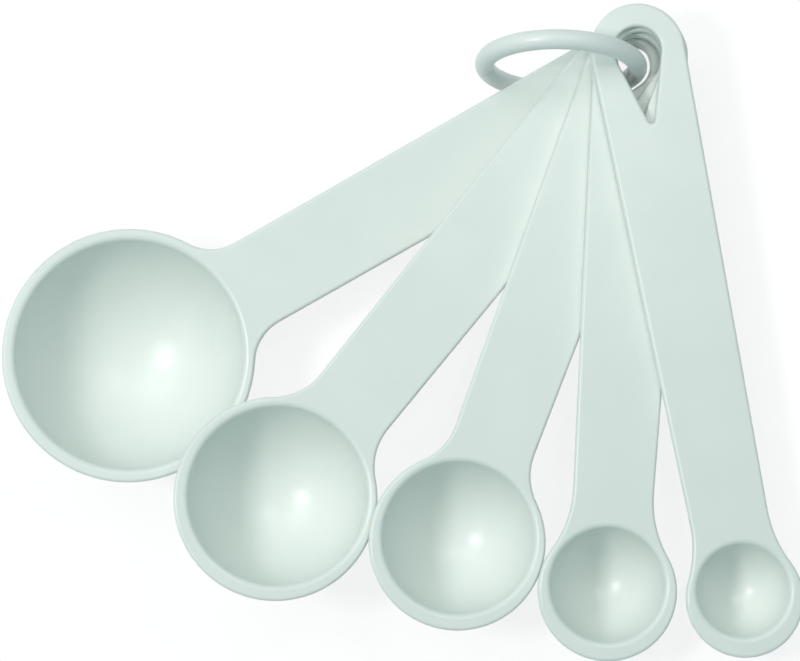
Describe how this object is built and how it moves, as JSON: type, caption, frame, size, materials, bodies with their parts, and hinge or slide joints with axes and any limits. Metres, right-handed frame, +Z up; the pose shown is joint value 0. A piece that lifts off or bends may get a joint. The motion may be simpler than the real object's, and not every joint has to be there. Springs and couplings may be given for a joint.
{
  "type": "measuring spoon set",
  "caption": "Fan of measuring spoons with round bowls and flat tapering handles, strung by teardrop eyes on a snap ring about which they swing",
  "frame": {"origin": "on the table, under the middle of the set's bounding box", "axes": "+Z up, as the set lies open side up on a table; +Y towards the ring; +X towards the smallest spoon"},
  "size_m": [0.1336, 0.1092, 0.0285],
  "materials": {
    "spoon_plastic": "white moulded plastic with a soft satin surface",
    "ring_plastic": "white moulded plastic with a soft satin surface"
  },
  "bodies": {
    "tablespoon": {"tablespoon": "spoon_plastic"},
    "half_tablespoon": {"half_tablespoon": "spoon_plastic"},
    "teaspoon": {"teaspoon": "spoon_plastic"},
    "half_teaspoon": {"half_teaspoon": "spoon_plastic"},
    "quarter_teaspoon": {"quarter_teaspoon": "spoon_plastic"},
    "ring": {"ring": "ring_plastic"}
  },
  "joints": [
    {"name": "half_tablespoon_swing", "type": "hinge", "parent": "tablespoon", "child": "half_tablespoon", "pos_m": [0.03921, 0.04544, 0.00803], "axis": [0.2361, -0.0108, 0.9717], "range_deg": [0, 45]},
    {"name": "teaspoon_swing", "type": "hinge", "parent": "half_tablespoon", "child": "teaspoon", "pos_m": [0.03921, 0.04544, 0.00803], "axis": [0.2361, -0.0108, 0.9717], "range_deg": [0, 45]},
    {"name": "half_teaspoon_swing", "type": "hinge", "parent": "teaspoon", "child": "half_teaspoon", "pos_m": [0.03921, 0.04544, 0.00803], "axis": [0.2361, -0.0108, 0.9717], "range_deg": [0, 45]},
    {"name": "quarter_teaspoon_swing", "type": "hinge", "parent": "half_teaspoon", "child": "quarter_teaspoon", "pos_m": [0.03921, 0.04544, 0.00803], "axis": [0.2361, -0.0108, 0.9717], "range_deg": [0, 45]},
    {"name": "ring_swing", "type": "hinge", "parent": "tablespoon", "child": "ring", "pos_m": [0.03921, 0.04544, 0.00803], "axis": [-0.2361, 0.0108, -0.9717], "range_deg": [0, 30]}
  ]
}
